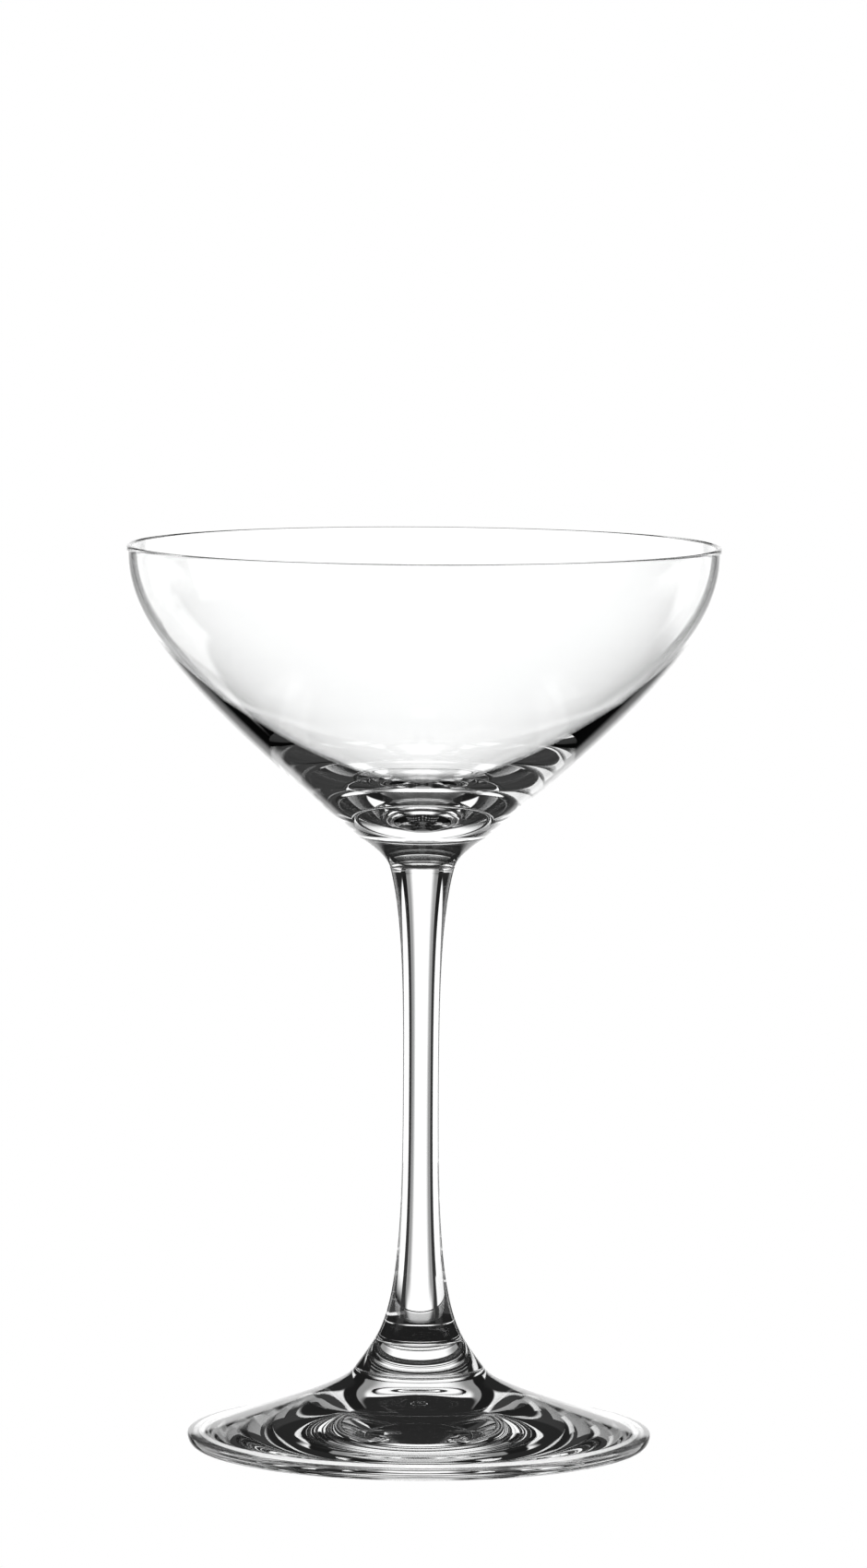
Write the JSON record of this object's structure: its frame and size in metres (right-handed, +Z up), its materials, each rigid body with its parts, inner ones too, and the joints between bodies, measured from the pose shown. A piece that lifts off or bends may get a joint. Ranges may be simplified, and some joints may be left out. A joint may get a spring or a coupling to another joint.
{
  "type": "martini glass",
  "caption": "Clear stemmed cocktail glass with a thin rounded saucer bowl, a drawn stem between two fused buttons and a low conical foot.",
  "frame": {"origin": "centre of the plane that the foot's contact ring rests on", "axes": "+Z up along the stem, the axis of revolution; X and Y are equivalent"},
  "size_m": [0.109, 0.109, 0.166],
  "materials": {
    "bowl_glass": "thin colourless crystal, fire-polished, with the faintest drawing waves",
    "button_glass": "solid colourless crystal, smooth where the gathers were fused",
    "stem_glass": "solid colourless crystal with faint lengthwise drawing lines",
    "foot_glass": "solid colourless crystal with faint spun rings, scuffed on the contact ring"
  },
  "bodies": {
    "root": {"foot": "foot_glass", "lower_button": "button_glass", "stem": "stem_glass", "upper_button": "button_glass", "bowl": "bowl_glass"}
  },
  "joints": []
}
